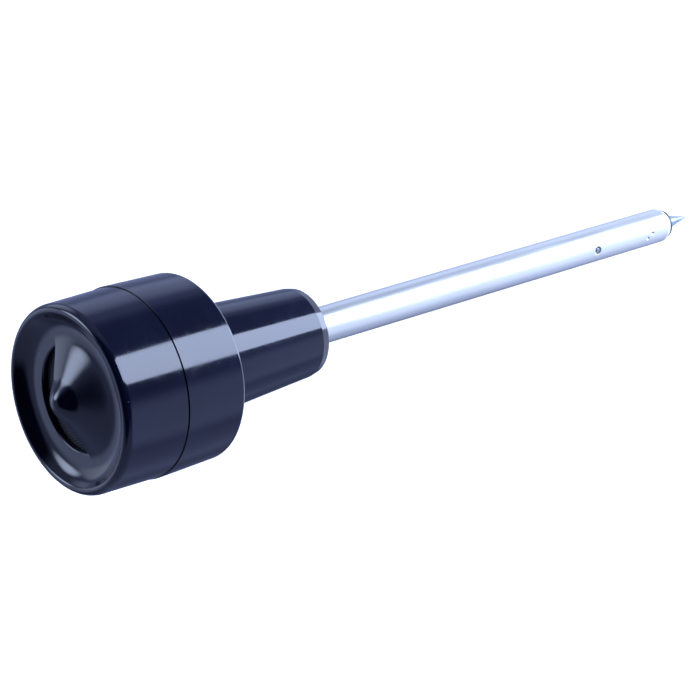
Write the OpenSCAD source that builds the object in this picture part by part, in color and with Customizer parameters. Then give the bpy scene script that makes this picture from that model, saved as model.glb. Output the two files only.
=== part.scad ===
/* [Probe] */
// Outside diameter of the steel probe tube
tube_d = 6; // [5.6:0.1:6.4]
// Wall of the probe tube
tube_wall = 0.75; // [0.6:0.05:0.85]
// Length of tube that stands out of the neck
tube_reach = 85.8; // [70:0.1:120]
// Diameter of the core rod inside the tube
core_d = 3; // [2.6:0.1:3]
// Length of the core rod's bare point
point_len = 6.4; // [4:0.1:10]
// Diameter of the cross pin that locks the tip insulator
pin_d = 1; // [0.8:0.1:1.2]
// Height of the cross pin above the tube's open end
pin_up = 19.5; // [16:0.5:21]

/* [Head] */
// Diameter of the head at its seam
head_d = 30; // [30:0.2:32]
// Length of the tapered neck
neck_len = 23.6; // [23.6:0.1:28]
// Diameter of the neck where it meets the head
neck_base_d = 17.36; // [17:0.01:19]
// Diameter of the neck just above its end chamfer
neck_end_d = 14.6; // [14:0.1:16]
// Height of the rear shell, from shoulder to seam
rear_h = 10.9; // [10.9:0.1:12]
// Taper of the head's side, as lost radius at each end
head_draft = 0.3; // [0.2:0.05:0.4]

/* [Cap] */
// Height of the cap, from the seam to the crest of its lip
cap_h = 11.3; // [11.3:0.1:12]
// How far the rear shell stands proud of the cap at the seam
seam_step = 0.17; // [0.05:0.01:0.25]
// Height of the lip's rounded outer side
lip_h = 1.22; // [1:0.02:1.3]
// Width of the lip's rounded outer side
lip_w = 0.95; // [0.8:0.05:1.1]
// Depth of the dished face below the lip's crest
dish_depth = 1.8; // [1.6:0.05:1.85]
// Running clearance between the cap and the spigot
cap_gap = 0.05; // [0.02:0.01:0.1]

/* [Sound port] */
// Radius of the sound port
port_r = 8.4; // [7.6:0.1:8.6]
// Height of the hood's top above the dished face
hood_h = 4.25; // [3.6:0.05:4.4]
// How far the hood's free edge reaches past the port's middle
hood_reach = 1; // [0.6:0.1:1.2]
// Thickness of the hood
hood_wall = 1.1; // [0.9:0.1:1.3]
// Outer radius of the hood's foot
hood_foot_r = 9.6; // [9.4:0.1:9.8]

/* [Board] */
// Radius of the round circuit board
board_r = 11.8; // [11.6:0.1:11.9]
// Thickness of the circuit board
board_t = 1.2; // [1:0.1:1.3]
// Diameter of the buzzer
buzzer_d = 12; // [9:0.5:12]
// Height of the buzzer
buzzer_h = 8.4; // [6:0.1:8.4]

/* [Battery] */
// Diameter of the coin cell
cell_d = 16; // [12:0.5:16]
// Thickness of the coin cell
cell_h = 3.2; // [2:0.1:3.2]

/* [Hidden] */
$fn = 96;

// Head: levels along the probe's axis, with 0 where the tube leaves the neck
seam_z = neck_len + rear_h;
crest_z = seam_z + cap_h;
floor_t = 1.8;
floor_z = neck_len + floor_t;
seam_r = head_d / 2;
rim_r = seam_r - head_draft;
spigot_r = seam_r - 1.3;
spigot_in_r = seam_r - 3;
spigot_h = 4.8;
spigot_top = seam_z + spigot_h;
shelf_r = spigot_in_r - 0.8;

// Neck and well
neck_chamfer = 1.4;
well_r = 5.2;
well_floor = 12;
bore_r = tube_d / 2 + 0.04;
mouth_r = 4.2;
mouth_depth = 2.3;

// Cap
cap_seam_r = seam_r - seam_step;
lip_out_r = cap_seam_r - 0.18;
lip_mid_r = lip_out_r - lip_w;
lip_in_w = 0.8;
lip_in_h = 0.95;
dish_z = crest_z - dish_depth;
face_t = 0.95;
face_under = dish_z - face_t;
face_r = 10;
cap_in_r = spigot_r + cap_gap;
cap_top_in_r = cap_in_r - 0.75;
port_edge = 0.3;
port_wall_h = 0.5;
gauze_r = port_r + 1.2;
gauze_t = 0.3;
gauze_ring_h = 0.8;

// Board stack, hung from the shelf inside the rear shell
board_z = floor_z + 6.2;
board_top = board_z + board_t;
boss_x = 10;
boss_r = 1.7;
screw_r = 0.8;
screw_hole_up = 0.4;
thread_gap = 0.02;
buzzer_y = 3.5;
buzzer_r = buzzer_d / 2;
buzzer_wall = 0.6;
base_t = 1;
coil_r = 2.6;
coil_h = 3.4;
coil_core_r = 1.2;
diaphragm_up = 5.2;
diaphragm_t = 0.15;
pin_pitch = 6.5;
pin_hole_r = 0.42;
pad_y = 9.6;
chip_y = -6.6;
chip_l = 4.9;
chip_w = 3.9;
chip_h = 1.6;
lead_pitch = 1.27;
lead_w = 0.4;
cell_r = cell_d / 2;
contact_h = 0.5;
cell_z = board_z - contact_h - cell_h;
can_t = 0.3;
lid_r = cell_r - 0.9;
strap_t = 0.3;
strap_w = 4;
clip_turn = 45;

// Probe
tube_r = tube_d / 2;
tube_in_r = tube_r - tube_wall;
tube_bevel_h = 1.1;
tube_bevel_r = 0.55;
groove_r = tube_r - 0.3;
collar_r = 4.7;
collar_t = 0.8;
washer_t = 0.8;
collar_z = well_floor + washer_t;
tag_z = collar_z + collar_t;
tag_t = 0.4;
tag_tail_r = 2.85;
tag_top = tag_z + 5.4;
lock_h = 3;
ring_drop = 0.55;
ring_z = -tube_reach - ring_drop;
plug_len = pin_up + 4.5;
pin_z = -tube_reach + pin_up;
pin_turn = 243;
core_r = core_d / 2;
rod_gap = 0.02;
sleeve_top = 18.2;
lug_h = 3.8;
wire_r = 0.5;
wire_floor = floor_z + 1.1;

// Points on an arc, from angle a0 to a1 in n steps
function arc(x, y, r, a0, a1, n) =
    oval(x, y, r, r, a0, a1, n);

// The same on an ellipse of half-widths rx and ry
function oval(x, y, rx, ry, a0, a1, n) =
    [for (i = [0:n]) let (a = a0 + (a1 - a0) * i / n) [x + rx * cos(a), y + ry * sin(a)]];

// A value that eases from v above zero to nothing below it
function eased(v, ease) = (v + sqrt(v * v + ease * ease)) / 2;

// Outline of the hood at radius r, before it is scaled to hood_h: a cone of
// slope 0.43 with a low round nose on its tip
cone_slope = 0.43;
cone_blunt = 0.8;
nose_h = 0.55;
nose_flat_r = 1.4;
nose_skirt = 1.8;
function hood_outline(r) =
    let (cone = cone_slope * eased(port_r + 0.95 - norm([r, cone_blunt]), 0.3),
         s = min(1, max(0, (r - nose_flat_r) / nose_skirt)))
    cone + nose_h * (1 - s * s * (3 - 2 * s));

// Height of the hood above the dished face at radius r
function hood_rise(r) = hood_h * hood_outline(r) / hood_outline(0);

module ring(r_in, r_out, z0, z1) {
    translate([0, 0, z0])
        difference() {
            cylinder(h = z1 - z0, r = r_out);
            translate([0, 0, -1]) cylinder(h = z1 - z0 + 2, r = r_in);
        }
}

module rod(r, z0, z1) {
    translate([0, 0, z0]) cylinder(h = z1 - z0, r = r);
}

module slab(w, d, z0, z1) {
    translate([-w / 2, -d / 2, z0]) cube([w, d, z1 - z0]);
}

// A round wire through a list of points, with a ball at each bend
module wire_run(route) {
    for (i = [0:len(route) - 2]) {
        step = route[i + 1] - route[i];
        tilt = acos(step[2] / norm(step));
        turn = atan2(step[1], step[0]);
        translate(route[i]) rotate([0, tilt, turn]) cylinder(h = norm(step), r = wire_r, $fn = 24);
        if (i > 0) translate(route[i]) sphere(r = wire_r, $fn = 24);
    }
}

module front_cap() {
    steps = 24;
    // The lip's inner side turns down to 45 degrees, and the bowl rounds it out into the face
    fall_turn = atan(lip_in_w / lip_in_h);
    fall_r = lip_mid_r - lip_in_w * sin(fall_turn);
    fall_z = crest_z - lip_in_h * (1 - cos(fall_turn));
    bowl_r = (fall_r - face_r - fall_z + dish_z) / (sqrt(2) - 1);
    hood_side = seam_r * 2;
    color([0.07, 0.07, 0.11]) {
        rotate_extrude()
            polygon(concat(
                [[cap_in_r, seam_z], [cap_seam_r - 0.15, seam_z], [cap_seam_r, seam_z + 0.15]],
                oval(lip_mid_r, crest_z - lip_h, lip_w, lip_h, 0, 90, 9),
                oval(lip_mid_r, crest_z - lip_in_h, lip_in_w, lip_in_h, 95, 90 + fall_turn, 5),
                arc(face_r, dish_z + bowl_r, bowl_r, -45, -90, 9),
                arc(port_r + port_edge, dish_z - port_edge, port_edge, 90, 180, 5),
                [[port_r, face_under], [gauze_r, face_under],
                 [gauze_r, face_under - gauze_t - gauze_ring_h],
                 [gauze_r + 1, face_under - gauze_t - gauze_ring_h],
                 [gauze_r + 1, face_under], [cap_top_in_r, face_under],
                 [cap_top_in_r, spigot_top + 0.3], [cap_in_r, spigot_top + 0.3]]));
        // The hood covers the port from its -Y side up to hood_reach past the middle
        intersection() {
            rotate_extrude()
                polygon(concat(
                    [for (i = [0:steps]) let (r = hood_foot_r * i / steps) [r, dish_z + hood_rise(r)]],
                    [[hood_foot_r, dish_z - port_edge], [port_r, dish_z - port_wall_h]],
                    [for (i = [steps:-1:0]) let (r = (port_r - 0.4) * i / steps)
                        [r, dish_z + hood_rise(r) - hood_wall]]));
            translate([-hood_side / 2, hood_reach - hood_side, face_under])
                cube([hood_side, hood_side, cap_h]);
        }
    }
}

module port_gauze() {
    color("dimgray") rod(gauze_r, face_under - gauze_t, face_under);
}

module gauze_ring() {
    color("gray") ring(port_r, gauze_r, face_under - gauze_t - gauze_ring_h, face_under - gauze_t);
}

// Seal ring in the spigot's groove, a running fit in the cap
seal_z = seam_z + 2.4;
seal_w = 1;
seal_mid_r = spigot_r - 0.02 + cap_gap - 0.01 - seal_w / 2;
module cap_seal() {
    color([0.1, 0.1, 0.1])
        translate([0, 0, seal_z])
            rotate_extrude()
                translate([seal_mid_r, 0]) circle(d = seal_w, $fn = 32);
}

module rear_housing() {
    edge = 0.4;
    fillet = 0.5;
    neck_end_r = neck_end_d / 2;
    groove_in_r = seal_mid_r - seal_w / 2;
    groove_half = 0.65;
    spigot_lead_in = 0.4;
    color([0.07, 0.07, 0.11])
        difference() {
            union() {
                rotate_extrude()
                    polygon(concat(
                        [[mouth_r, 0], [neck_end_r - 0.35, 0], [neck_end_r - 0.2, 0.15],
                         [neck_end_r, neck_chamfer]],
                        arc(neck_base_d / 2 + fillet, neck_len - fillet, fillet, 180, 90, 5),
                        arc(rim_r - edge, neck_len + edge, edge, -90, 0, 5),
                        [[seam_r, seam_z], [spigot_r, seam_z],
                         [spigot_r, seal_z - groove_half], [groove_in_r, seal_z - groove_half],
                         [groove_in_r, seal_z + groove_half], [spigot_r, seal_z + groove_half],
                         [spigot_r, spigot_top - spigot_lead_in], [spigot_r - spigot_lead_in, spigot_top],
                         [spigot_in_r, spigot_top], [spigot_in_r, board_z], [shelf_r, board_z],
                         [shelf_r, floor_z], [well_r, floor_z], [well_r, well_floor],
                         [bore_r, well_floor], [bore_r, mouth_depth], [mouth_r, mouth_depth]]));
                for (side = [-1, 1])
                    translate([side * boss_x, 0, 0]) rod(boss_r, floor_z - 0.5, board_z);
            }
            for (side = [-1, 1])
                translate([side * boss_x, 0, 0])
                    rod(screw_r + thread_gap, floor_z + screw_hole_up, board_z + 1);
        }
}

module circuit_board() {
    screw_clear = 0.15;
    notch_turn = 135;
    notch_r = 0.9;
    color("darkgreen")
        difference() {
            rod(board_r, board_z, board_top);
            for (side = [-1, 1]) {
                translate([side * boss_x, 0, 0]) rod(screw_r + screw_clear, board_z - 1, board_top + 1);
                translate([side * pin_pitch / 2, buzzer_y, 0]) rod(pin_hole_r, board_z - 1, board_top + 1);
            }
            // Notch that keys the board in the shell
            rotate([0, 0, notch_turn])
                translate([board_r, 0, 0]) rod(notch_r, board_z - 1, board_top + 1);
        }
}

module board_screws() {
    head_r = 1.55;
    head_h = 1;
    slot_l = 1.7;
    slot_w = 0.4;
    slot_up = 0.4;
    color("silver")
        for (side = [-1, 1])
            translate([side * boss_x, 0, 0])
                difference() {
                    union() {
                        rod(screw_r, floor_z + 1.2, board_top);
                        translate([0, 0, board_top])
                            rotate_extrude()
                                polygon([[0, 0], [head_r, 0], [head_r, head_h * 0.5],
                                         [head_r - 0.35, head_h * 0.85], [head_r - 0.8, head_h],
                                         [0, head_h]]);
                    }
                    for (turn = [0, 90])
                        rotate([0, 0, turn])
                            slab(slot_l, slot_w, board_top + slot_up, board_top + head_h + 1);
                }
}

module buzzer_case() {
    edge = 0.5;
    sound_hole_r = 1;
    color([0.12, 0.12, 0.13])
        translate([0, buzzer_y, 0])
            difference() {
                rotate_extrude()
                    polygon([[0, board_top], [buzzer_r, board_top],
                             [buzzer_r, board_top + buzzer_h - edge],
                             [buzzer_r - edge, board_top + buzzer_h], [0, board_top + buzzer_h]]);
                rod(buzzer_r - buzzer_wall, board_top - 1, board_top + buzzer_h - buzzer_wall);
                rod(sound_hole_r, board_top + 1, board_top + buzzer_h + 1);
            }
}

module buzzer_base() {
    color("tan")
        translate([0, buzzer_y, 0])
            difference() {
                rod(buzzer_r - buzzer_wall - 0.02, board_top, board_top + base_t);
                for (side = [-1, 1])
                    translate([side * pin_pitch / 2, 0, 0]) rod(pin_hole_r, board_top - 1, board_top + 2);
            }
}

module buzzer_coil() {
    color("peru")
        translate([0, buzzer_y, 0])
            ring(coil_core_r, coil_r, board_top + base_t, board_top + base_t + coil_h);
}

module buzzer_diaphragm() {
    mass_r = 2;
    mass_h = 0.45;
    disc_z = board_top + diaphragm_up;
    color("lightgray")
        translate([0, buzzer_y, 0])
            union() {
                rod(buzzer_r - buzzer_wall - 0.05, disc_z, disc_z + diaphragm_t);
                rod(mass_r, disc_z + diaphragm_t, disc_z + diaphragm_t + mass_h);
            }
}

module buzzer_pins() {
    color("silver")
        for (side = [-1, 1])
            translate([side * pin_pitch / 2, buzzer_y, 0])
                rod(pin_hole_r - 0.02, board_z - 0.35, board_top + base_t + 0.6);
}

module controller_chip() {
    dot_r = 0.3;
    color([0.1, 0.1, 0.1])
        translate([0, chip_y, 0])
            difference() {
                slab(chip_l, chip_w, board_top + 0.15, board_top + chip_h);
                translate([-1.8, -1.3, 0]) rod(dot_r, board_top + chip_h - 0.1, board_top + chip_h + 1);
            }
}

module chip_leads() {
    color("silver")
        for (i = [0:3], side = [-1, 1])
            translate([(i - 1.5) * lead_pitch, chip_y, 0]) {
                // shoulder, leg and foot
                translate([0, side * 2.15, 0]) slab(lead_w, 0.4, board_top + 0.55, board_top + 0.75);
                translate([0, side * 2.45, 0]) slab(lead_w, 0.2, board_top, board_top + 0.75);
                translate([0, side * 2.75, 0]) slab(lead_w, 0.4, board_top, board_top + 0.2);
            }
}

// Small parts with a plain body, one at each place
module chip_resistors() {
    color([0.15, 0.15, 0.15])
        for (place = [[-5.4, -4.6], [-5.4, -6.4], [5.4, -4.6], [5.4, -6.4]])
            translate([place[0], place[1], 0]) slab(2, 1.25, board_top, board_top + 0.5);
}

module chip_capacitors() {
    color("burlywood")
        for (place = [[-5.4, -8.2], [5.4, -8.2], [-8.4, 3.6]])
            translate([place[0], place[1], 0]) slab(2, 1.25, board_top, board_top + 0.9);
}

module cell_can() {
    color("silver")
        difference() {
            rod(cell_r, cell_z, cell_z + cell_h - can_t);
            rod(cell_r - can_t, cell_z + can_t, cell_z + cell_h + 1);
        }
}

module cell_gasket() {
    color("whitesmoke") ring(lid_r, cell_r - can_t, cell_z + can_t, cell_z + cell_h - 0.15);
}

module cell_lid() {
    wall = 0.25;
    color("lightgray")
        difference() {
            rod(lid_r, cell_z + 0.6, cell_z + cell_h);
            rod(lid_r - wall, cell_z, cell_z + cell_h - wall);
        }
}

module cell_core() {
    color([0.2, 0.2, 0.22]) rod(lid_r - 0.25, cell_z + can_t, cell_z + cell_h - 0.25);
}

// Spring strap under the cell, with a leg up to the board on each side
module cell_clip() {
    leg = cell_r + 0.15;
    color("gold")
        rotate([0, 0, clip_turn]) {
            slab(2 * (leg + strap_t), strap_w, cell_z - strap_t, cell_z);
            for (side = [-1, 1])
                translate([side * (leg + strap_t / 2), 0, 0])
                    slab(strap_t, strap_w, cell_z - strap_t, board_z);
        }
}

module negative_contact() {
    color("gold")
        translate([0, 0, cell_z + cell_h]) cylinder(h = contact_h, r1 = 1.2, r2 = 2.8);
}

module gland_seal() {
    step = 0.2;
    color([0.1, 0.1, 0.1])
        rotate_extrude()
            polygon([[tube_r + rod_gap, 0.3], [mouth_r, 0.3], [mouth_r, mouth_depth],
                     [tube_r + rod_gap, mouth_depth], [tube_r + rod_gap, 1.6 + step],
                     [groove_r + rod_gap, 1.6], [groove_r + rod_gap, 0.6 + step],
                     [tube_r + rod_gap, 0.6]]);
}

module tube_washer() {
    color("firebrick") ring(bore_r, well_r - 0.1, well_floor, collar_z);
}

module probe_tube() {
    dent_r = 0.4;
    color("lightsteelblue")
        difference() {
            rotate_extrude()
                polygon([[tube_in_r, -tube_reach], [tube_r - tube_bevel_r, -tube_reach],
                         [tube_r, -tube_reach + tube_bevel_h], [tube_r, 0.4],
                         [groove_r, 0.6], [groove_r, 1.6], [tube_r, 1.8], [tube_r, tag_z],
                         [tube_in_r, tag_z]]);
            rotate([0, 0, pin_turn])
                translate([0, 0, pin_z]) rotate([0, 90, 0]) cylinder(h = tube_r + 1, r = pin_d / 2 + 0.22);
            // Two punched dents that grip the tip insulator
            for (dent = [[5.3, pin_turn + 4], [6.4, pin_turn - 10]])
                rotate([0, 0, dent[1]])
                    translate([tube_r + dent_r * 0.5, 0, -tube_reach + dent[0]])
                        sphere(r = dent_r, $fn = 24);
        }
}

// Collar brazed round the tube's upper end
module tube_collar() {
    color("lightsteelblue") ring(tube_r, collar_r, collar_z, tag_z);
}

module solder_tag() {
    color("khaki")
        union() {
            ring(tag_tail_r - 0.2, collar_r, tag_z, tag_z + tag_t);
            translate([0, tag_tail_r, 0]) slab(1.6, tag_t, tag_z, tag_top);
        }
}

module lock_ring() {
    lock_in_r = 3.3;
    color("goldenrod")
        difference() {
            ring(lock_in_r, well_r - 0.05, tag_z + tag_t, tag_z + tag_t + lock_h);
            for (turn = [0, 90])
                rotate([0, 0, turn + 45])
                    slab(2 * well_r + 1, 1, tag_z + tag_t + lock_h - 1, tag_z + tag_t + lock_h + 1);
        }
}

module insulator_sleeve() {
    color("whitesmoke")
        ring(core_r + rod_gap, tube_in_r - rod_gap, -tube_reach + plug_len, sleeve_top);
}

module tip_insulator() {
    color([0.13, 0.15, 0.17])
        difference() {
            union() {
                rod(tube_in_r - rod_gap, -tube_reach - 0.01, -tube_reach + plug_len);
                rod(tube_r - tube_bevel_r - 0.05, ring_z, -tube_reach);
            }
            rod(core_r + rod_gap, ring_z - 1, -tube_reach + plug_len + 1);
            rotate([0, 0, pin_turn])
                translate([core_r + 0.15, 0, pin_z])
                    rotate([0, 90, 0]) cylinder(h = tube_r, r = pin_d / 2 + 0.01);
        }
}

module tube_pin() {
    color("silver")
        rotate([0, 0, pin_turn])
            translate([core_r + 0.2, 0, pin_z])
                rotate([0, 90, 0]) cylinder(h = tube_r - 0.08 - core_r - 0.2, r = pin_d / 2);
}

module core_rod() {
    color("lightgray")
        rotate_extrude()
            polygon([[0, ring_z - point_len], [core_r, ring_z], [core_r, sleeve_top],
                     [core_r - 0.4, sleeve_top], [core_r - 0.4, sleeve_top + 2.3],
                     [0, sleeve_top + 2.3]]);
}

module core_lug() {
    color("khaki")
        difference() {
            rod(core_r + 0.2, sleeve_top + 0.05, sleeve_top + lug_h);
            rod(core_r - 0.38, sleeve_top - 1, sleeve_top + 2.35);
            rod(wire_r + 0.02, sleeve_top + 2.6, sleeve_top + lug_h + 1);
        }
}

module tube_wire() {
    start_y = tag_tail_r + tag_t / 2 + wire_r + rod_gap;
    color("red")
        wire_run([[0, start_y, tag_top - 1.8], [0, start_y, wire_floor], [0, pad_y, wire_floor],
                  [0, pad_y, board_z]]);
}

module core_wire() {
    color("black")
        wire_run([[0, 0, sleeve_top + 2.7], [0, 0, wire_floor], [0, -pad_y, wire_floor],
                  [0, -pad_y, board_z]]);
}

front_cap();
port_gauze();
gauze_ring();
cap_seal();
rear_housing();
circuit_board();
board_screws();
buzzer_case();
buzzer_base();
buzzer_coil();
buzzer_diaphragm();
buzzer_pins();
controller_chip();
chip_leads();
chip_resistors();
chip_capacitors();
cell_can();
cell_gasket();
cell_lid();
cell_core();
cell_clip();
negative_contact();
gland_seal();
tube_washer();
probe_tube();
tube_collar();
solder_tag();
lock_ring();
insulator_sleeve();
tip_insulator();
tube_pin();
core_rod();
core_lug();
tube_wire();
core_wire();
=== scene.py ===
import math
import bpy
import numpy as np
from mathutils import Matrix, Vector


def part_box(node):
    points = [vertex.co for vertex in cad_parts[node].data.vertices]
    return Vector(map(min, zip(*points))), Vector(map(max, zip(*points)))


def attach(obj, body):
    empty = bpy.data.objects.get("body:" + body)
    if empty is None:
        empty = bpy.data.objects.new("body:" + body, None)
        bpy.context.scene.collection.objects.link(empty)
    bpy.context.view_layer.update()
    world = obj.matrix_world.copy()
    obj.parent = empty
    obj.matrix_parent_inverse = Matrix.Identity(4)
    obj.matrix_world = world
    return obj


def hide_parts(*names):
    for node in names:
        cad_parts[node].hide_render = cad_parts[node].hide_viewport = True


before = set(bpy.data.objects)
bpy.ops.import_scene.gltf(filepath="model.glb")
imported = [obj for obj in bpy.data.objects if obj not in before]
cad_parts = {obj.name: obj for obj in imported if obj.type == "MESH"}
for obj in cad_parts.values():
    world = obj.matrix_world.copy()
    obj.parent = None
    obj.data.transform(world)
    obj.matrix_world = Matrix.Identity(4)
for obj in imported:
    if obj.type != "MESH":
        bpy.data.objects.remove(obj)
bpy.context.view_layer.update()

mm = 0.001
print("frame loaded:", len(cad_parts), "CAD nodes")


# Shapes: profiles and grids, worked out in millimetres

def arcPoints(centre, radius, start, end, steps):
    # centre + radius * (cos a, sin a), with a running from start to end in degrees
    a = np.radians(np.linspace(start, end, steps + 1))
    return np.stack([centre[0] + radius * np.cos(a), centre[1] + radius * np.sin(a)], 1)


def filletCorner(before, corner, after, radius, steps):
    # the arc that touches both sides of a corner; one extra point on each side holds
    # the flat next to it flat when the surface is shaded smooth
    toBefore, toAfter = before - corner, after - corner
    lenBefore, lenAfter = np.linalg.norm(toBefore), np.linalg.norm(toAfter)
    toBefore, toAfter = toBefore / lenBefore, toAfter / lenAfter
    half = np.arccos(np.clip(toBefore @ toAfter, -1, 1)) / 2
    if radius <= 0 or half > math.radians(89):
        return corner[None]
    reach = min(radius / np.tan(half), 0.45 * lenBefore, 0.45 * lenAfter)
    radius = reach * np.tan(half)
    middle = toBefore + toAfter
    centre = corner + middle / np.linalg.norm(middle) * radius / np.sin(half)
    first, last = corner + toBefore * reach - centre, corner + toAfter * reach - centre
    a0 = np.arctan2(first[1], first[0])
    turn = np.arctan2(last[1], last[0]) - a0
    turn = (turn + np.pi) % (2 * np.pi) - np.pi
    a = a0 + turn * np.linspace(0, 1, steps + 1)
    arc = centre + radius * np.stack([np.cos(a), np.sin(a)], 1)
    hold = min(0.25 * radius, 0.04 * min(lenBefore, lenAfter))
    return np.vstack([arc[0] + toBefore * hold, arc, arc[-1] + toAfter * hold])


def roundedOutline(corners, steps=6, closed=True):
    # corners are (r, z, fillet radius); each sharp corner becomes an arc
    pts = np.array([c[:2] for c in corners], float)
    n = len(pts)
    out = []
    for i, corner in enumerate(corners):
        atEnd = not closed and i in (0, n - 1)
        if atEnd or corner[2] <= 0:
            out.append(pts[i][None])
        else:
            out.append(filletCorner(pts[i - 1], pts[i], pts[(i + 1) % n], corner[2], steps))
    return np.vstack(out)


def revolve(outline, steps=160, closed=True):
    # (r cos t, r sin t, z) for each outline point and t from 0 to 360 degrees;
    # an open outline starts and ends on the axis, where its points become one pole each
    r, z = outline[:, 0], outline[:, 1]
    signed = np.sum(r * np.roll(z, -1) - np.roll(r, -1) * z)
    if signed < 0:
        r, z = r[::-1], z[::-1]
    t = np.linspace(0, 2 * np.pi, steps, endpoint=False)
    rings = r if closed else r[1:-1]
    levels = z if closed else z[1:-1]
    n = len(rings)
    grid = np.empty((n, steps, 3))
    grid[..., 0] = rings[:, None] * np.cos(t)
    grid[..., 1] = rings[:, None] * np.sin(t)
    grid[..., 2] = levels[:, None]
    i = np.arange(n if closed else n - 1)[:, None]
    j = np.arange(steps)[None]
    up, side = (i + 1) % n, (j + 1) % steps
    quads = np.stack([i * steps + j, i * steps + side, up * steps + side, up * steps + j], -1)
    verts, faces = grid.reshape(-1, 3), quads.reshape(-1, 4).tolist()
    if not closed:
        poles = len(verts)
        verts = np.vstack([verts, [[0, 0, z[0]], [0, 0, z[-1]]]])
        ring, nextRing = np.arange(steps), (np.arange(steps) + 1) % steps
        last = (n - 1) * steps
        faces += np.stack([np.full(steps, poles), nextRing, ring], 1).tolist()
        faces += np.stack([np.full(steps, poles + 1), last + ring, last + nextRing], 1).tolist()
    return verts, faces


def gridFaces(rows, cols, flip=False):
    # quads between neighbouring points of a rows x cols grid
    i, j = np.arange(rows - 1)[:, None], np.arange(cols - 1)[None]
    quads = np.stack([i * cols + j, i * cols + j + 1, (i + 1) * cols + j + 1, (i + 1) * cols + j], -1)
    quads = quads.reshape(-1, 4)
    return (quads[:, ::-1] if flip else quads).tolist()


def joinShells(*shells):
    # several closed shells as one mesh
    verts, faces, start = [], [], 0
    for shellVerts, shellFaces in shells:
        verts.append(shellVerts)
        faces += [[i + start for i in face] for face in shellFaces]
        start += len(shellVerts)
    return np.vstack(verts), faces


def shifted(shell, offset):
    return shell[0] + np.array(offset, float), shell[1]


def roundedBlock(size, centre, radius, steps=3):
    # a box whose edges are rounded: points on a sphere grid, pushed out to the box's corners
    u = np.linspace(-np.pi, np.pi, 16 * steps + 1)[:-1] + np.pi / (16 * steps)
    v = np.linspace(-np.pi / 2, np.pi / 2, 8 * steps + 2)[1:-1]
    uu, vv = np.meshgrid(u, v)
    ball = np.stack([np.cos(vv) * np.cos(uu), np.cos(vv) * np.sin(uu), np.sin(vv)], -1)
    core = np.array(size) / 2 - radius
    pts = ball * radius + np.sign(ball) * core + np.array(centre)
    rows, cols = pts.shape[:2]
    faces = []
    i, j = np.arange(rows - 1)[:, None], np.arange(cols)[None]
    side = (j + 1) % cols
    quads = np.stack([i * cols + j, i * cols + side, (i + 1) * cols + side, (i + 1) * cols + j], -1)
    faces += quads.reshape(-1, 4).tolist()
    faces.append(np.arange(cols)[::-1].tolist())
    faces.append(((rows - 1) * cols + np.arange(cols)).tolist())
    return pts.reshape(-1, 3), faces


def addPiece(name, shell, body, replaced, material, sharpAngle=40):
    verts, faces = shell
    mesh = bpy.data.meshes.new(name)
    mesh.from_pydata((verts * mm).tolist(), [], faces)
    mesh.validate()
    mesh.update()
    piece = bpy.data.objects.new(name, mesh)
    bpy.context.scene.collection.objects.link(piece)
    mesh.shade_smooth()
    mesh.set_sharp_from_angle(angle=math.radians(sharpAngle))
    mesh.materials.append(material)
    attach(piece, body)
    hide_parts(*replaced)
    return piece


# Materials

def linearColour(hexCode):
    # sRGB hex to the linear values that a shader takes
    c = np.array([int(hexCode[i:i + 2], 16) for i in (1, 3, 5)]) / 255
    c = np.where(c <= 0.04045, c / 12.92, ((c + 0.055) / 1.055) ** 2.4)
    return (*c.tolist(), 1.0)


def addNode(tree, kind, settings=None, **inputs):
    # an input is a plain value or another node's output; a digit key is an input's number
    node = tree.nodes.new(kind)
    for key, value in (settings or {}).items():
        setattr(node, key, value)
    for key, value in inputs.items():
        words = key.replace("_", " ")
        socket = node.inputs[int(key[1:])] if key[1:].isdigit() else node.inputs[words]
        if isinstance(value, bpy.types.NodeSocket):
            tree.links.new(value, socket)
        else:
            socket.default_value = value
    return node


def startMaterial(name):
    material = bpy.data.materials.new(name)
    material.use_nodes = True
    tree = material.node_tree
    tree.nodes.clear()
    out = addNode(tree, "ShaderNodeOutputMaterial")
    coords = addNode(tree, "ShaderNodeTexCoord").outputs["Object"]
    return material, tree, out, coords


def noise(tree, coords, sizeMm, detail=2.0, stretch=(1, 1, 1), roughness=0.5):
    # sizeMm is the width of one blotch in millimetres
    place = addNode(tree, "ShaderNodeMapping", Vector=coords, Scale=stretch)
    return addNode(tree, "ShaderNodeTexNoise", Vector=place.outputs[0], Scale=1000 / sizeMm,
                   Detail=detail, Roughness=roughness).outputs["Fac"]


def spread(tree, value, low, high, fromLow=0.3, fromHigh=0.7):
    mapped = addNode(tree, "ShaderNodeMapRange", Value=value)
    for socket, number in zip(mapped.inputs[1:5], (fromLow, fromHigh, low, high)):
        socket.default_value = number
    return mapped.outputs[0]


def blendColours(tree, fac, first, second):
    mix = addNode(tree, "ShaderNodeMix", {"data_type": "RGBA"})
    for number, value in ((0, fac), (6, first), (7, second)):
        if isinstance(value, bpy.types.NodeSocket):
            tree.links.new(value, mix.inputs[number])
        else:
            mix.inputs[number].default_value = value
    return mix.outputs[2]


def bump(tree, height, depthMm, strength=1.0):
    return addNode(tree, "ShaderNodeBump", Height=height, Distance=depthMm * mm,
                   Strength=strength).outputs[0]


def finishMaterial(tree, out, **inputs):
    shader = addNode(tree, "ShaderNodeBsdfPrincipled", None, **inputs)
    tree.links.new(shader.outputs[0], out.inputs["Surface"])
    return shader


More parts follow.
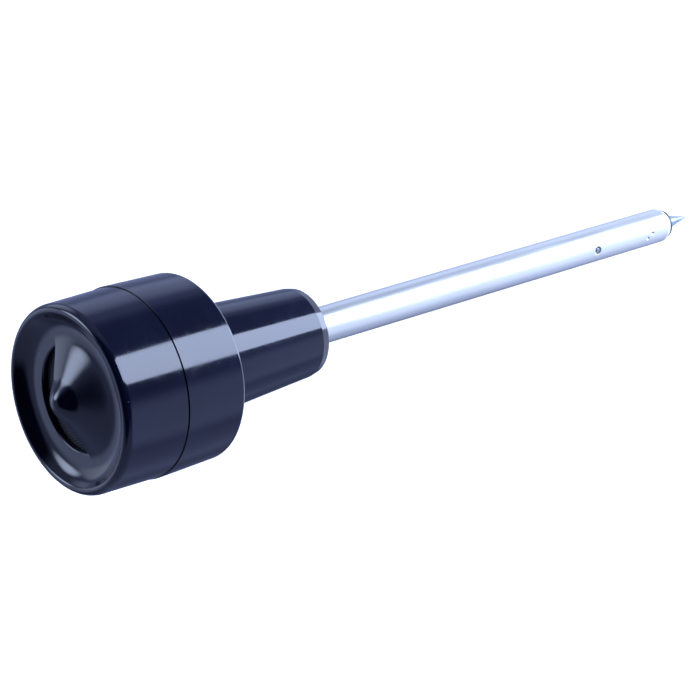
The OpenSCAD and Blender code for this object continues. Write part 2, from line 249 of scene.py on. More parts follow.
def specks(tree, coords, cellMm, inner, outer, rarity):
    # a dot at the middle of a few cells; inner and outer are its radius in cell widths
    cells = addNode(tree, "ShaderNodeTexVoronoi", Vector=coords, Scale=1000 / cellMm)
    dot = spread(tree, cells.outputs["Distance"], 1, 0, inner, outer)
    pick = addNode(tree, "ShaderNodeSeparateColor", Color=cells.outputs["Color"])
    chosen = spread(tree, pick.outputs[0], 0, 1, rarity, rarity + 0.01)
    return addNode(tree, "ShaderNodeMath", {"operation": "MULTIPLY"}, i0=dot, i1=chosen).outputs[0]


# Glossy injection-moulded ABS, black with a navy cast: mirror-like but with a faint
# ripple from the mould, and dust that dulls it in small patches
headPlasticLook = {"colour": "#030617", "worn": "#060A1E", "dust": "#8C98B0", "dustMm": 2.6,
                   "roughness": 0.09, "dulled": 0.17,
                   "rippleMm": 3.0, "rippleDepthMm": 0.003, "grainMm": 0.35, "grainDepthMm": 0.0008}


def makeHeadPlastic(look):
    material, tree, out, coords = startMaterial("mouldedGlossAbs")
    cloud = noise(tree, coords, 6.0, 4.0)
    grain = noise(tree, coords, look["grainMm"], 2.0)
    ripple = noise(tree, coords, look["rippleMm"], 1.0)
    colour = blendColours(tree, spread(tree, cloud, 0, 1), linearColour(look["colour"]),
                          linearColour(look["worn"]))
    dull = spread(tree, noise(tree, coords, 1.6, 6.0, roughness=0.65), look["roughness"], look["dulled"],
                  0.45, 0.8)
    colour = blendColours(tree, specks(tree, coords, look["dustMm"], 0.03, 0.045, 0.88), colour,
                          linearColour(look["dust"]))
    waves = bump(tree, ripple, look["rippleDepthMm"])
    fine = addNode(tree, "ShaderNodeBump", Height=grain, Distance=look["grainDepthMm"] * mm, Normal=waves)
    finishMaterial(tree, out, Base_Color=colour, Roughness=dull, Normal=fine.outputs[0], IOR=1.53)
    return material


# Bright zinc-plated drawn steel: faint streaks along its length and a few dark pin-pricks
tubeSteelLook = {"colour": "#FCFCF0", "shade": "#F4F4E4", "roughness": 0.36, "streakMm": 0.25,
                 "streakStretch": 0.02, "streakDepthMm": 0.0006, "pitMm": 3.2}


def makeTubeSteel(look, name="zincPlatedTube", pits=True):
    material, tree, out, coords = startMaterial(name)
    stretch = (1, 1, look["streakStretch"])
    streaks = noise(tree, coords, look["streakMm"], 3.0, stretch)
    patches = noise(tree, coords, 9.0, 3.0, (1, 1, 0.4))
    colour = blendColours(tree, spread(tree, patches, 0, 1), linearColour(look["colour"]),
                          linearColour(look["shade"]))
    if pits:
        colour = blendColours(tree, specks(tree, coords, look["pitMm"], 0.03, 0.06, 0.9), colour,
                              linearColour("#7C8898"))
    rough = spread(tree, streaks, look["roughness"] - 0.04, look["roughness"] + 0.05)
    lines = bump(tree, streaks, look["streakDepthMm"])
    finishMaterial(tree, out, Base_Color=colour, Metallic=1.0, Roughness=rough, Normal=lines)
    return material


# A plain way to build the small parts' finishes: two tones of one colour, an uneven
# roughness and a fine grain
def makePlain(name, first, second, roughness, grainMm, depthMm, metallic=0.0, ior=1.5):
    material, tree, out, coords = startMaterial(name)
    cloud = noise(tree, coords, grainMm * 8, 3.0)
    grain = noise(tree, coords, grainMm, 3.0)
    colour = blendColours(tree, spread(tree, cloud, 0, 1), linearColour(first), linearColour(second))
    rough = spread(tree, grain, roughness - 0.05, roughness + 0.08)
    inputs = {"Base_Color": colour, "Roughness": rough, "Normal": bump(tree, grain, depthMm)}
    if metallic:
        inputs["Metallic"] = metallic
    else:
        inputs["IOR"] = ior
    finishMaterial(tree, out, **inputs)
    return material


headPlastic = makeHeadPlastic(headPlasticLook)
tubeSteel = makeTubeSteel(tubeSteelLook)
rodSteel = makeTubeSteel(dict(tubeSteelLook, colour="#7F8D9A", shade="#6C7B8A", roughness=0.3),
                         "groundSteelRod", pits=False)
pinSteel = makeTubeSteel(dict(tubeSteelLook, colour="#A9B0B6", shade="#979FA6", roughness=0.34),
                         "turnedSteelPin", pits=False)
looks = {
    "sealRubber": makePlain("mouldedNitrileRubber", "#101010", "#191919", 0.55, 0.15, 0.004),
    "tipPlastic": makePlain("turnedAcetal", "#1E2830", "#2A3640", 0.4, 0.2, 0.003),
    "blackPlastic": makePlain("mouldedEpoxy", "#141414", "#1E1E1F", 0.5, 0.12, 0.004),
    "nylonGrey": makePlain("mouldedNylon", "#3C3D40", "#4A4B4F", 0.45, 0.2, 0.003),
    "platedSteel": makePlain("nickelPlatedSteel", "#C9CBCF", "#B9BCC2", 0.2, 0.3, 0.001, 1.0),
    "tinnedLead": makePlain("tinnedCopper", "#C4C6C8", "#AEB2B6", 0.32, 0.1, 0.001, 1.0),
    "giltBrass": makePlain("giltBrass", "#D9B45C", "#C79E48", 0.25, 0.3, 0.001, 1.0),
    "copperWire": makePlain("enamelledCopper", "#B0602A", "#8E4A1E", 0.35, 0.15, 0.004, 1.0),
    "laminate": makePlain("paperLaminate", "#A07C48", "#8A6838", 0.5, 0.3, 0.003),
    "whitePlastic": makePlain("sinteredPtfe", "#E2E2DE", "#D2D2CE", 0.45, 0.3, 0.002),
    "redFibre": makePlain("vulcanisedFibre", "#7A2018", "#64180F", 0.6, 0.2, 0.004),
    "cellMass": makePlain("pressedPowder", "#202022", "#2C2C2E", 0.8, 0.1, 0.006),
    "redInsulation": makePlain("extrudedPvcRed", "#8E1512", "#A01C16", 0.35, 0.4, 0.002),
    "blackInsulation": makePlain("extrudedPvcBlack", "#0C0C0C", "#141414", 0.35, 0.4, 0.002),
}


def makeBoardMask():
    # green solder mask; a brick pattern's joints stand for the tracks under it
    material, tree, out, coords = startMaterial("solderMaskOnFr4")
    tracks = addNode(tree, "ShaderNodeTexBrick", {"offset": 0.37, "offset_frequency": 3}, Vector=coords,
                     Scale=1.0, Mortar_Size=0.00012, Mortar_Smooth=0.3, Brick_Width=0.0031,
                     Row_Height=0.0013).outputs["Fac"]
    cloud = noise(tree, coords, 3.0)
    mask = blendColours(tree, spread(tree, cloud, 0, 1), linearColour("#0A4A22"), linearColour("#0D5528"))
    colour = blendColours(tree, tracks, mask, linearColour("#1E7A3C"))
    finishMaterial(tree, out, Base_Color=colour, Roughness=0.28, Normal=bump(tree, tracks, 0.03), IOR=1.52)
    return material


def makeGauze():
    # plain weave: threads 0.4 mm apart run both ways, each a rounded ridge; the wave
    # node turns through 20 radians per unit
    material, tree, out, coords = startMaterial("wovenPolyesterGauze")
    ridges = []
    for direction in ("X", "Y"):
        ridges.append(addNode(tree, "ShaderNodeTexWave", {"bands_direction": direction}, Vector=coords,
                              Scale=2 * math.pi / (20 * 0.4 * mm), Distortion=0.4).outputs["Fac"])
    weave = addNode(tree, "ShaderNodeMath", {"operation": "MAXIMUM"}, i0=ridges[0], i1=ridges[1]).outputs[0]
    colour = blendColours(tree, weave, linearColour("#050608"), linearColour("#26282E"))
    finishMaterial(tree, out, Base_Color=colour, Roughness=0.65, Normal=bump(tree, weave, 0.08))
    return material


def makeChipPart(name, body, bodyDark, roughness):
    # a ceramic body with tinned ends; the mesh marks its ends with the endCap attribute
    material, tree, out, coords = startMaterial(name)
    ends = addNode(tree, "ShaderNodeAttribute", {"attribute_name": "endCap"}).outputs["Fac"]
    grain = noise(tree, coords, 0.08, 3.0)
    ceramic = blendColours(tree, spread(tree, grain, 0, 1), linearColour(body), linearColour(bodyDark))
    colour = blendColours(tree, ends, ceramic, linearColour("#C4C6C8"))
    finishMaterial(tree, out, Base_Color=colour, Metallic=ends, Roughness=roughness,
                   Normal=bump(tree, grain, 0.003))
    return material


looks["boardMask"] = makeBoardMask()
looks["gauze"] = makeGauze()
looks["resistor"] = makeChipPart("thickFilmResistor", "#0F0F12", "#1A1A1E", 0.3)
looks["capacitor"] = makeChipPart("layeredCeramicCapacitor", "#A58459", "#8F7049", 0.4)
print("materials made")


# Head: cap and rear shell

capLow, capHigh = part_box("front_cap")
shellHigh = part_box("rear_housing")[1]
headRadius = shellHigh.x / mm
seamZ = capLow.z / mm
hoodTopZ = capHigh.z / mm
print("seam at", round(seamZ, 2), "mm, hood top at", round(hoodTopZ, 2), "mm")

capShape = {"seamStep": 0.17, "lipOut": (0.95, 1.22), "lipIn": (0.8, 0.95), "lipHeight": 11.3,
            "dishDepth": 1.8, "faceRadius": 10.0, "faceThick": 0.95, "portRadius": 8.4, "portEdge": 0.3,
            "gauzeSeat": 9.6,
            "clearance": 0.05, "hoodHeight": 4.25, "hoodReach": 1.0, "hoodWall": 0.7, "hoodFoot": 10.0,
            "coneSlope": 0.44, "coneFoot": 9.1, "coneBlunt": 1.0, "coneEase": 0.9, "noseHeight": 0.62,
            "noseFlat": 0.9, "noseSkirt": 2.9, "hoodDip": 0.1}


def hoodRise(r, shape):
    # a cone, slope * eased(foot - sqrt(r^2 + blunt^2)), with a low round nose on its tip;
    # eased(v) = (v + sqrt(v^2 + ease^2)) / 2 and the nose falls off as a smooth step
    v = shape["coneFoot"] - np.hypot(r, shape["coneBlunt"])
    cone = shape["coneSlope"] * (v + np.hypot(v, shape["coneEase"])) / 2
    s = np.clip((r - shape["noseFlat"]) / shape["noseSkirt"], 0, 1)
    return cone + shape["noseHeight"] * (1 - s * s * (3 - 2 * s))


def hoodShell(shape, dishZ, across=140, along=90, nose=14):
    # rows run across the opening (x), columns from the foot over the top to the free
    # edge, round its nose, and back under the hood to the port's wall
    foot, reach = shape["hoodFoot"], shape["hoodReach"]
    scale = (shape["hoodHeight"] + shape["hoodDip"]) / hoodRise(0.0, shape)
    x = math.sqrt(foot ** 2 - reach ** 2) * np.sin(
        np.linspace(-1, 1, across + 1) * np.pi / 2 * 0.995)[:, None]
    back = -np.sqrt(foot ** 2 - x ** 2)
    half = shape["hoodWall"] / 2
    edge = reach - half
    s = np.linspace(0, 1, along)[None]
    yTop = back + (edge - back) * s
    zTop = dishZ + scale * hoodRise(np.hypot(x, yTop), shape) - shape["hoodDip"]
    yUnder, under = yTop[:, ::-1], zTop[:, ::-1] - 2 * half
    a = np.linspace(90, -90, nose)[None, 1:-1] * np.pi / 180
    middle = zTop[:, -1:] - half
    yNose = edge + half * np.cos(a) + 0 * x
    zNose = middle + half * np.sin(a)
    y = np.hstack([yTop, yNose, yUnder])
    z = np.hstack([zTop, zNose, under])
    pts = np.stack([x + 0 * y, y, z], -1)
    rows, cols = pts.shape[:2]
    faces = gridFaces(rows, cols)
    i = np.arange(rows - 1)
    faces += np.stack([i * cols + cols - 1, i * cols, (i + 1) * cols, (i + 1) * cols + cols - 1],
                      1).tolist()
    faces.append(np.arange(cols)[::-1].tolist())
    faces.append(((rows - 1) * cols + np.arange(cols)).tolist())
    return pts.reshape(-1, 3), faces


def capOutline(shape):
    # from the seam up over the lip, down the bowl to the dished face, and in at the port
    outer = headRadius - shape["seamStep"]
    outWide, outHigh = shape["lipOut"]
    inWide, inHigh = shape["lipIn"]
    crest = seamZ + shape["lipHeight"]
    middle = outer - 0.18 - outWide
    dishZ = crest - shape["dishDepth"]
    # the lip's inner side turns down to 45 degrees; the bowl rounds it out into the face
    turn = math.atan(inWide / inHigh)
    fallR, fallZ = middle - inWide * math.sin(turn), crest - inHigh * (1 - math.cos(turn))
    face = shape["faceRadius"]
    bowl = (fallR - face - fallZ + dishZ) / (math.sqrt(2) - 1)
    under = dishZ - shape["faceThick"]
    inner = headRadius - 1.3 + shape["clearance"]
    port, edge, seat = shape["portRadius"], shape["portEdge"], shape["gauzeSeat"]
    bead = np.vstack([arcPoints((0, 0), 1, 0, 90, 24) * shape["lipOut"] + (middle, crest - outHigh),
                      arcPoints((0, 0), 1, 93, 90 + math.degrees(turn), 14) * shape["lipIn"] +
                      (middle, crest - inHigh)])
    foot = roundedOutline([(inner, seamZ, 0.2), (outer, seamZ, 0.12), (bead[0][0], bead[0][1], 0)],
                          closed=False)
    bowlArc = arcPoints((face, dishZ + bowl), bowl, -45, -90, 24)
    portArc = arcPoints((port + edge, dishZ - edge), edge, 90, 180, 10)
    within = roundedOutline([
        (port, dishZ - edge - 0.02, 0), (port, under, 0.08), (seat, under, 0.0), (seat, under - 1.1, 0.1),
        (seat + 1, under - 1.1, 0.15), (seat + 1, under, 0.3), (inner - 0.75, under, 0.5),
        (inner - 0.75, seamZ + 5.1, 0.1), (inner, seamZ + 5.1, 0.1), (inner, seamZ + 0.6, 0)], closed=False)
    return np.vstack([foot, bead, bowlArc, portArc, within]), dishZ


capProfile, dishZ = capOutline(capShape)
capMesh = joinShells(revolve(capProfile, 256), hoodShell(capShape, dishZ))
addPiece("frontCap", capMesh, "cap", ["front_cap"], headPlastic)

shellShape = {"neckLength": 23.6, "neckBase": 8.68, "neckEnd": 7.30, "endChamfer": 1.4, "draft": 0.3,
              "spigotHeight": 4.8, "spigotInset": 1.3, "boreInset": 3.0, "shelfInset": 3.8, "floor": 25.4,
              "boardLevel": 31.6, "sealLevel": 2.4, "bossAt": 10.0, "bossRadius": 1.7, "screwHole": 0.82}


def rearShellMesh(shape):
    spigot = headRadius - shape["spigotInset"]
    groove = spigot - 0.98
    bore, shelf = headRadius - shape["boreInset"], headRadius - shape["shelfInset"]
    top = seamZ + shape["spigotHeight"]
    seal = seamZ + shape["sealLevel"]
    neck = shape["neckLength"]
    outline = roundedOutline([
        (4.2, 0, 0.2), (shape["neckEnd"] - 0.3, 0, 0.2), (shape["neckEnd"], shape["endChamfer"], 0.25),
        (shape["neckBase"], neck, 0.5), (headRadius - shape["draft"], neck, 0.45),
        (headRadius, seamZ, 0.07), (spigot, seamZ, 0.1), (spigot, seal - 0.65, 0.08),
        (groove, seal - 0.65, 0.15), (groove, seal + 0.65, 0.15), (spigot, seal + 0.65, 0.08),
        (spigot, top - 0.5, 0.1), (spigot - 0.4, top, 0.1), (bore, top, 0.2),
        (bore, shape["boardLevel"], 0.15),
        (shelf, shape["boardLevel"], 0.1), (shelf, shape["floor"], 0.5), (5.2, shape["floor"], 0.3),
        (5.2, 12, 0.2), (3.04, 12, 0.1), (3.04, 2.3, 0.1), (4.2, 2.3, 0.1)])
    shells = [revolve(outline, 256)]
    boss = roundedOutline([(shape["screwHole"], shape["floor"] + 0.4, 0),
                           (shape["bossRadius"], shape["floor"] + 0.4, 0),
                           (shape["bossRadius"], shape["boardLevel"], 0.1),
                           (shape["screwHole"], shape["boardLevel"], 0.1)])
    for side in (-1, 1):
        shells.append(shifted(revolve(boss, 48), (side * shape["bossAt"], 0, 0)))
    return joinShells(*shells)


addPiece("rearShell", rearShellMesh(shellShape), "housing", ["rear_housing"], headPlastic)
print("head made")


# Probe: tube, tip ring, core rod, cross pin

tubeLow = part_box("probe_tube")[0]
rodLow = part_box("core_rod")[0]
tubeEndZ = tubeLow.z / mm
tubeShape = {"radius": 3.0, "inner": 2.25, "bevelHeight": 0.9, "bevelRadius": 2.55, "grooveRadius": 2.7,
             "topZ": 13.6, "pinTurn": 243.0, "pinUp": 19.5,
             "pinHole": 0.72, "pinDepth": 0.55, "dents": ((5.3, 247.0), (6.4, 233.0)), "dentRadius": 0.34,
             "dentDepth": 0.2}


def crowded(start, end, steps, places, width, extra):
    # evenly spaced values, with extra ones close round each place
    values = [np.linspace(start, end, steps)]
    for place in places:
        t = np.linspace(-1, 1, extra)
        values.append(place + width * t * (0.6 + 0.4 * np.abs(t)))
    values = np.sort(np.concatenate(values))
    values = values[(values >= start) & (values <= end)]
    return values[np.concatenate([[True], np.diff(values) > 1e-4])]


def tubeMesh(shape):
    # the outline is carried round the axis, and the radius drops by a smooth step
    # inside the pin's hole and by a shallow bowl inside each dent
    features = [(shape["pinUp"], shape["pinTurn"])] + list(shape["dents"])
    low = tubeEndZ
    sideZ = crowded(low + shape["bevelHeight"] + 0.25, 0.1, 60,
                    [low + f[0] for f in features], 1.1, 44)
    side = np.stack([np.full(len(sideZ), shape["radius"]), sideZ], 1)
    lower = roundedOutline([(shape["inner"], low + 1.5, 0), (shape["inner"], low, 0.12),
                            (shape["bevelRadius"], low, 0.12),
                            (shape["radius"], low + shape["bevelHeight"], 0.5),
                            (shape["radius"], low + shape["bevelHeight"] + 0.3, 0)], closed=False)[:-1]
    upper = roundedOutline([(shape["radius"], 0.2, 0), (shape["radius"], 0.4, 0.1),
                            (shape["grooveRadius"], 0.6, 0.1),
                            (shape["grooveRadius"], 1.6, 0.1), (shape["radius"], 1.8, 0.1),
                            (shape["radius"], shape["topZ"], 0.2), (shape["inner"], shape["topZ"], 0.2),
                            (shape["inner"], 8.0, 0)], closed=False)
    outline = np.vstack([lower, side, upper])
    halfWide = 1.1 / shape["radius"]
    turns = crowded(0, 2 * np.pi, 97, [math.radians(f[1]) for f in features], halfWide, 44)[:-1]
    r = outline[:, 0][:, None] + 0 * turns
    z = outline[:, 1][:, None] + 0 * turns
    onSide = (outline[:, 0] == shape["radius"])[:, None]

    def distance(feature):
        arc = (turns - math.radians(feature[1]) + np.pi) % (2 * np.pi) - np.pi
        return np.hypot(arc * shape["radius"], z - (low + feature[0]))

    hole = np.clip((shape["pinHole"] + 0.06 - distance(features[0])) / 0.12, 0, 1)
    r = r - onSide * shape["pinDepth"] * hole * hole * (3 - 2 * hole)
    for dent in features[1:]:
        bowl = np.clip(1 - (distance(dent) / shape["dentRadius"]) ** 2, 0, 1)
        r = r - onSide * shape["dentDepth"] * bowl ** 1.2
    pts = np.stack([r * np.cos(turns), r * np.sin(turns), z], -1)
    rows, cols = pts.shape[:2]
    i, j = np.arange(rows)[:, None], np.arange(cols)[None]
    up, aside = (i + 1) % rows, (j + 1) % cols
    quads = np.stack([i * cols + j, i * cols + aside, up * cols + aside, up * cols + j], -1)
    return pts.reshape(-1, 3), quads.reshape(-1, 4).tolist()


addPiece("probeTube", tubeMesh(tubeShape), "housing", ["probe_tube"], tubeSteel, 50)

ringShape = {"radius": 2.52, "drop": 0.55, "plugRadius": 2.23, "plugLength": 24.0, "bore": 1.52}
ringZ = tubeEndZ - ringShape["drop"]
ringOutline = roundedOutline([
    (ringShape["bore"], ringZ, 0.05), (ringShape["radius"], ringZ, 0.15),
    (ringShape["radius"], tubeEndZ, 0.02),
    (ringShape["plugRadius"], tubeEndZ, 0.02),
    (ringShape["plugRadius"], tubeEndZ + ringShape["plugLength"], 0.1),
    (ringShape["bore"], tubeEndZ + ringShape["plugLength"], 0.05)])
addPiece("tipInsulator", revolve(ringOutline, 96), "housing", ["tip_insulator"],
         looks["tipPlastic"])

rodShape = {"radius": 1.5, "tipRadius": 0.09, "sleeveTop": 18.2, "top": 20.5, "neck": 1.1}
rodOutline = roundedOutline([
    (0, rodLow.z / mm, 0), (rodShape["tipRadius"], rodLow.z / mm + 0.03, 0.06),
    (rodShape["radius"], ringZ, 0.25), (rodShape["radius"], rodShape["sleeveTop"], 0.1),
    (rodShape["neck"], rodShape["sleeveTop"], 0.05), (rodShape["neck"], rodShape["top"], 0.15),
    (0, rodShape["top"], 0)], closed=False)
addPiece("coreRod", revolve(rodOutline, 96, closed=False), "housing", ["core_rod"], rodSteel)

pinShape = {"radius": 0.42, "start": 1.7, "end": 2.93, "crown": 0.06}


def pinMesh(shape):
    # a short cylinder with a crowned end, turned to lie across the tube
    outline = np.vstack([
        [[0, shape["start"]]], roundedOutline([
            (shape["radius"], shape["start"], 0), (shape["radius"], shape["end"] - shape["crown"], 0)],
            closed=False),
        arcPoints((shape["radius"] - 0.12, shape["end"] - shape["crown"] - 0.06), 0.12, 0, 80, 6),
        [[0, shape["end"]]]])
    verts, faces = revolve(outline, 48, closed=False)
    turn = math.radians(tubeShape["pinTurn"])
    outward = np.array([math.cos(turn), math.sin(turn), 0])
    sideways = np.array([-math.sin(turn), math.cos(turn), 0])
    upward = np.cross(outward, sideways)
    placed = verts[:, :1] * sideways + verts[:, 1:2] * upward + verts[:, 2:] * outward
    return placed + np.array([0, 0, tubeEndZ + tubeShape["pinUp"]]), faces


addPiece("crossPin", pinMesh(pinShape), "housing", ["tube_pin"], pinSteel)
print("probe made")


# Seals

sealZ = seamZ + shellShape["sealLevel"]
sealMid = headRadius - shellShape["spigotInset"] + 0.02 - 0.5
sealOutline = arcPoints((sealMid, sealZ), 0.5, 0, 360, 24)[:-1]
addPiece("capSeal", revolve(sealOutline, 160), "housing", ["cap_seal"], looks["sealRubber"])

glandOutline = roundedOutline([
    (3.02, 0.3, 0.1), (4.18, 0.3, 0.1), (4.18, 2.28, 0.05), (3.02, 2.28, 0.05), (3.02, 1.8, 0.05),
    (2.72, 1.6, 0.05), (2.72, 0.8, 0.05), (3.02, 0.6, 0.05)])
addPiece("glandSeal", revolve(glandOutline, 96), "housing", ["gland_seal"],
         looks["sealRubber"])


# Inside the head: what shows when the cap is off

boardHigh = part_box("circuit_board")[1]
boardTop = boardHigh.z / mm
caseLow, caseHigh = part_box("buzzer_case")
caseMid, caseRadius, caseTop = (caseLow.y + caseHigh.y) / 2 / mm, caseHigh.x / mm, caseHigh.z / mm

buzzerShape = {"wall": 0.6, "edge": 0.55, "hole": 1.0, "holeEdge": 0.25, "step": 0.12, "stepUp": 2.2}
w, stepZ = buzzerShape["wall"], boardTop + buzzerShape["stepUp"]
caseOutline = roundedOutline([
    (caseRadius - w, boardTop, 0.05), (caseRadius, boardTop, 0.05), (caseRadius, stepZ, 0.05),
    (caseRadius - buzzerShape["step"], stepZ, 0.05),
    (caseRadius - buzzerShape["step"], caseTop, buzzerShape["edge"]),
    (buzzerShape["hole"], caseTop, buzzerShape["holeEdge"]), (buzzerShape["hole"], caseTop - w, 0.1),
    (caseRadius - w, caseTop - w, 0.3)])
addPiece("buzzerCase", shifted(revolve(caseOutline, 128), (0, caseMid, 0)), "housing",
         ["buzzer_case"], looks["blackPlastic"])

gauzeRingShape = {"inner": 8.4, "outer": 9.6, "height": 0.8, "edge": 0.15}
gauzeRingLow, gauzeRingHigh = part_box("gauze_ring")
low, high = gauzeRingLow.z / mm, gauzeRingHigh.z / mm
gauzeRing = roundedOutline([(gauzeRingShape["inner"], low, gauzeRingShape["edge"]),
                            (gauzeRingShape["outer"], low, gauzeRingShape["edge"]),
                            (gauzeRingShape["outer"], high, 0.03), (gauzeRingShape["inner"], high, 0.03)])
addPiece("gauzeRing", revolve(gauzeRing, 128), "cap", ["gauze_ring"], looks["nylonGrey"])

chipLow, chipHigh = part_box("controller_chip")
chipShape = {"edge": 0.12}


def chipMesh(shape):
    # the moulded body is a rounded block
    size = [(chipHigh[k] - chipLow[k]) / mm for k in range(3)]
    middle = [(chipHigh[k] + chipLow[k]) / 2 / mm for k in range(3)]
    return roundedBlock(size, middle, shape["edge"])


addPiece("controllerChip", chipMesh(chipShape), "housing", ["controller_chip"],
         looks["blackPlastic"])

leadShape = {"pitch": 1.27, "width": 0.4, "thick": 0.2, "start": 1.95, "knee": 2.45, "toe": 2.95,
             "high": 0.65}


def leadMesh(shape):
    # a gull-wing lead: the middle line runs out, down and out again, and is given its
    # thickness and width
    chipY = (chipHigh.y + chipLow.y) / 2 / mm
    half, deep = shape["width"] / 2, shape["thick"] / 2
    line = roundedOutline([(shape["start"], shape["high"], 0), (shape["knee"] - 0.05, shape["high"], 0.15),
                           (shape["knee"], deep, 0.15), (shape["toe"], deep, 0)], closed=False)
    along = np.gradient(line, axis=0)
    along /= np.linalg.norm(along, axis=1)[:, None]
    normal = np.stack([-along[:, 1], along[:, 0]], 1) * deep
    upper, lower = line + normal, line - normal
    corners = np.stack([upper, upper, lower, lower], 1)
    xs = np.array([-half, half, half, -half])[None]
    n = len(line)
    i, j = np.arange(n - 1)[:, None], np.arange(4)[None]
    side = (j + 1) % 4
    quads = np.stack([i * 4 + j, (i + 1) * 4 + j, (i + 1) * 4 + side, i * 4 + side], -1).reshape(-1, 4)
    shells = []
    for facing in (-1, 1):
        order = quads if facing < 0 else quads[:, ::-1]
        ends = [[0, 1, 2, 3], list(range(4 * n - 1, 4 * n - 5, -1))]
        ends = ends if facing < 0 else [face[::-1] for face in ends]
        for k in range(4):
            pts = np.stack([xs + (k - 1.5) * shape["pitch"] + 0 * corners[..., 0],
                            chipY + facing * corners[..., 0], boardTop + corners[..., 1]], -1)
            shells.append((pts.reshape(-1, 3), order.tolist() + ends))
    return joinShells(*shells)


addPiece("chipLeads", leadMesh(leadShape), "housing", ["chip_leads"],
         looks["tinnedLead"], 30)


def endCapPiece(name, places, size, node, material):
    # rounded blocks whose last quarter on each side is tinned
    blocks = [roundedBlock(size, (x, y, boardTop + size[2] / 2), 0.08) for x, y in places]
    piece = addPiece(name, joinShells(*blocks), "housing", [node], material, 50)
    mark = piece.data.attributes.new("endCap", "FLOAT", "POINT")
    offsets = np.concatenate([block[0][:, 0] - x for block, (x, y) in zip(blocks, places)])
    mark.data.foreach_set("value", (np.abs(offsets) > size[0] * 0.38).astype(np.float32))


endCapPiece("chipResistors", [(-5.4, -4.6), (-5.4, -6.4), (5.4, -4.6), (5.4, -6.4)], (2, 1.25, 0.5),
            "chip_resistors", looks["resistor"])
endCapPiece("chipCapacitors", [(-5.4, -8.2), (5.4, -8.2), (-8.4, 3.6)], (2, 1.25, 0.9),
            "chip_capacitors", looks["capacitor"])
print("inside made")


# CAD nodes that keep their shape

nodeLooks = {
    "tube_collar": "tinnedLead", "port_gauze": "gauze", "circuit_board": "boardMask",
    "board_screws": "platedSteel", "buzzer_base": "laminate", "buzzer_coil": "copperWire",
    "buzzer_diaphragm": "platedSteel", "buzzer_pins": "tinnedLead", "cell_can": "platedSteel",
    "cell_gasket": "whitePlastic", "cell_lid": "platedSteel", "cell_core": "cellMass",
    "cell_clip": "giltBrass", "negative_contact": "giltBrass", "tube_washer": "redFibre",
    "solder_tag": "giltBrass", "lock_ring": "giltBrass", "insulator_sleeve": "whitePlastic",
    "core_lug": "giltBrass", "tube_wire": "redInsulation", "core_wire": "blackInsulation"}
for node, look in nodeLooks.items():
    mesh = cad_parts[node].data
    mesh.materials.clear()
    mesh.materials.append(looks[look])
print("CAD nodes dressed:", len(nodeLooks))


# Stage, light and camera

cameraSet = {"place": (-0.0051, -0.3232, 0.2554), "elevation": 39.25, "roll": -107.17, "lens": 133.7}
elevation, roll = math.radians(cameraSet["elevation"]), math.radians(cameraSet["roll"])
levelRight = Vector((1, 0, 0))
levelUp = Vector((0, math.sin(elevation), math.cos(elevation)))
backward = Vector((0, -math.cos(elevation), math.sin(elevation)))
right = levelRight * math.cos(roll) + levelUp * math.sin(roll)
upward = levelUp * math.cos(roll) - levelRight * math.sin(roll)
camera = bpy.data.objects.new("camera", bpy.data.cameras.new("camera"))
bpy.context.scene.collection.objects.link(camera)
camera.data.lens = cameraSet["lens"]
camera.data.sensor_width = 36
camera.data.clip_start, camera.data.clip_end = 0.01, 20
camera.matrix_world = Matrix((
    (right.x, upward.x, backward.x, cameraSet["place"][0]),
    (right.y, upward.y, backward.y, cameraSet["place"][1]),
    (right.z, upward.z, backward.z, cameraSet["place"][2]),
    (0, 0, 0, 1)))
bpy.context.scene.camera = camera
bpy.context.scene.view_settings.view_transform = "Standard"

floorLevel = -0.6
floorSpan = 6.0
floorPatchMm = 400.0
floorRoughness, floorGlow = 0.9, 0.9
floorMesh = bpy.data.meshes.new("floor")
floorMesh.from_pydata([(-floorSpan, -floorSpan, floorLevel), (floorSpan, -floorSpan, floorLevel),
                       (floorSpan, floorSpan, floorLevel), (-floorSpan, floorSpan, floorLevel)], [],
                       [(0, 1, 2, 3)])
floor = bpy.data.objects.new("floor", floorMesh)
bpy.context.scene.collection.objects.link(floor)
# white acrylic lit from below, as on a product table
floorMaterial, tree, out, coords = startMaterial("backlitAcrylic")
tone = blendColours(tree, spread(tree, noise(tree, coords, floorPatchMm), 0, 1), (0.9, 0.9, 0.9, 1),
                    (0.93, 0.93, 0.93, 1))
finishMaterial(tree, out, Base_Color=tone, Roughness=floorRoughness, Emission_Color=(1, 1, 1, 1),
               Emission_Strength=floorGlow)
floorMesh.materials.append(floorMaterial)
floor.visible_glossy = False

# the softbox and the bright parts of the room share this cool white
lightTint = (0.60, 0.71, 1.0)


def addSoftbox(name, toward, distance, size, power, aim=(0, 0, 0.03)):
    # a rectangular area light on the line from the head towards a direction
    direction = Vector(toward).normalized()
    light = bpy.data.lights.new(name, "AREA")
    light.shape = "RECTANGLE"
    light.size, light.size_y = size
    light.energy = power
    light.color = lightTint
    lamp = bpy.data.objects.new(name, light)
    bpy.context.scene.collection.objects.link(lamp)
    lamp.location = Vector(aim) + direction * distance
    lamp.rotation_mode = "QUATERNION"
    lamp.rotation_quaternion = direction.to_track_quat("Z", "Y")
    lamp.visible_camera = False
    return lamp


addSoftbox("keySoftbox", (0.19, -0.75, -0.633), 0.55, (0.28, 0.9), 8.5)


def bearing(azimuth, height):
    # a direction from its azimuth, from +Y towards +X, and its height above the horizon
    az, up = math.radians(azimuth), math.radians(height)
    return Vector((math.sin(az) * math.cos(up), math.cos(az) * math.cos(up), math.sin(up)))


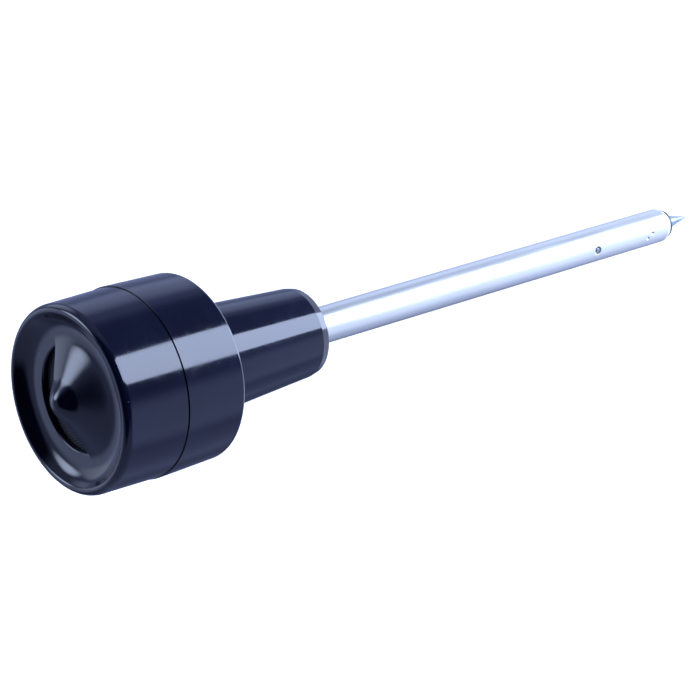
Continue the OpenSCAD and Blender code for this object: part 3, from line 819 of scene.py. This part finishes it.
# The room as a sphere of light: a level, then patches set to place the gloss
# bands on the head. It is fitted to one view and is not a plain room. Each patch has a
# bearing, an inner and outer angle in degrees, and the brightness inside them
roomLevel = 0.5
roomPatches = [
    ((180, 52), 42, 60, 0.01), ((180, 10), 30, 60, 0.04), ((124, -39), 14, 26, 0.18),
    ((206, -39), 4, 12, 0.3),
    ((335, -39), 6, 26, 0.2), ((-15, 0), 14, 34, 0.22), ((8, 30), 10, 26, 1.15), ((25, 26), 6, 18, 1.9),
    ((60, 2), 8, 24, 2.0), ((66, -39), 4, 18, 1.2), ((232, -39), 12, 28, 1.0), ((52, 47), 4, 17, 8.0),
    ((0, -90), 25, 48, 2.6)]
dimTint = (0.55, 0.67, 1.25, 1)  # the dim parts of the room are bluer
dimUntil, brightFrom = 0.4, 2.0
world = bpy.data.worlds.new("studio")
bpy.context.scene.world = world
world.use_nodes = True
tree = world.node_tree
tree.nodes.clear()
worldOut = addNode(tree, "ShaderNodeOutputWorld")
heading = addNode(tree, "ShaderNodeTexCoord").outputs["Generated"]
level = roomLevel
for toward, inner, outer, value in roomPatches:
    along = addNode(tree, "ShaderNodeVectorMath", {"operation": "DOT_PRODUCT"}, i0=heading,
                    i1=bearing(*toward)).outputs["Value"]
    inside = addNode(tree, "ShaderNodeMapRange", {"interpolation_type": "SMOOTHSTEP"}, Value=along)
    for socket, number in zip(inside.inputs[1:5],
                              (math.cos(math.radians(outer)), math.cos(math.radians(inner)), 0, 1)):
        socket.default_value = number
    mix = addNode(tree, "ShaderNodeMix", None, Factor=inside.outputs[0])
    for socket, number in ((mix.inputs[2], level), (mix.inputs[3], value)):
        if isinstance(number, bpy.types.NodeSocket):
            tree.links.new(number, socket)
        else:
            socket.default_value = number
    level = mix.outputs[0]
tint = blendColours(tree, spread(tree, level, 0, 1, dimUntil, brightFrom), dimTint, (*lightTint, 1))
room = addNode(tree, "ShaderNodeBackground", Color=tint, Strength=level)
paper = addNode(tree, "ShaderNodeBackground", Color=(1, 1, 1, 1), Strength=1.0)
seen = addNode(tree, "ShaderNodeLightPath").outputs["Is Camera Ray"]
either = addNode(tree, "ShaderNodeMixShader", None, i0=seen, i1=room.outputs[0], i2=paper.outputs[0])
tree.links.new(either.outputs[0], worldOut.inputs["Surface"])
print("stage made")
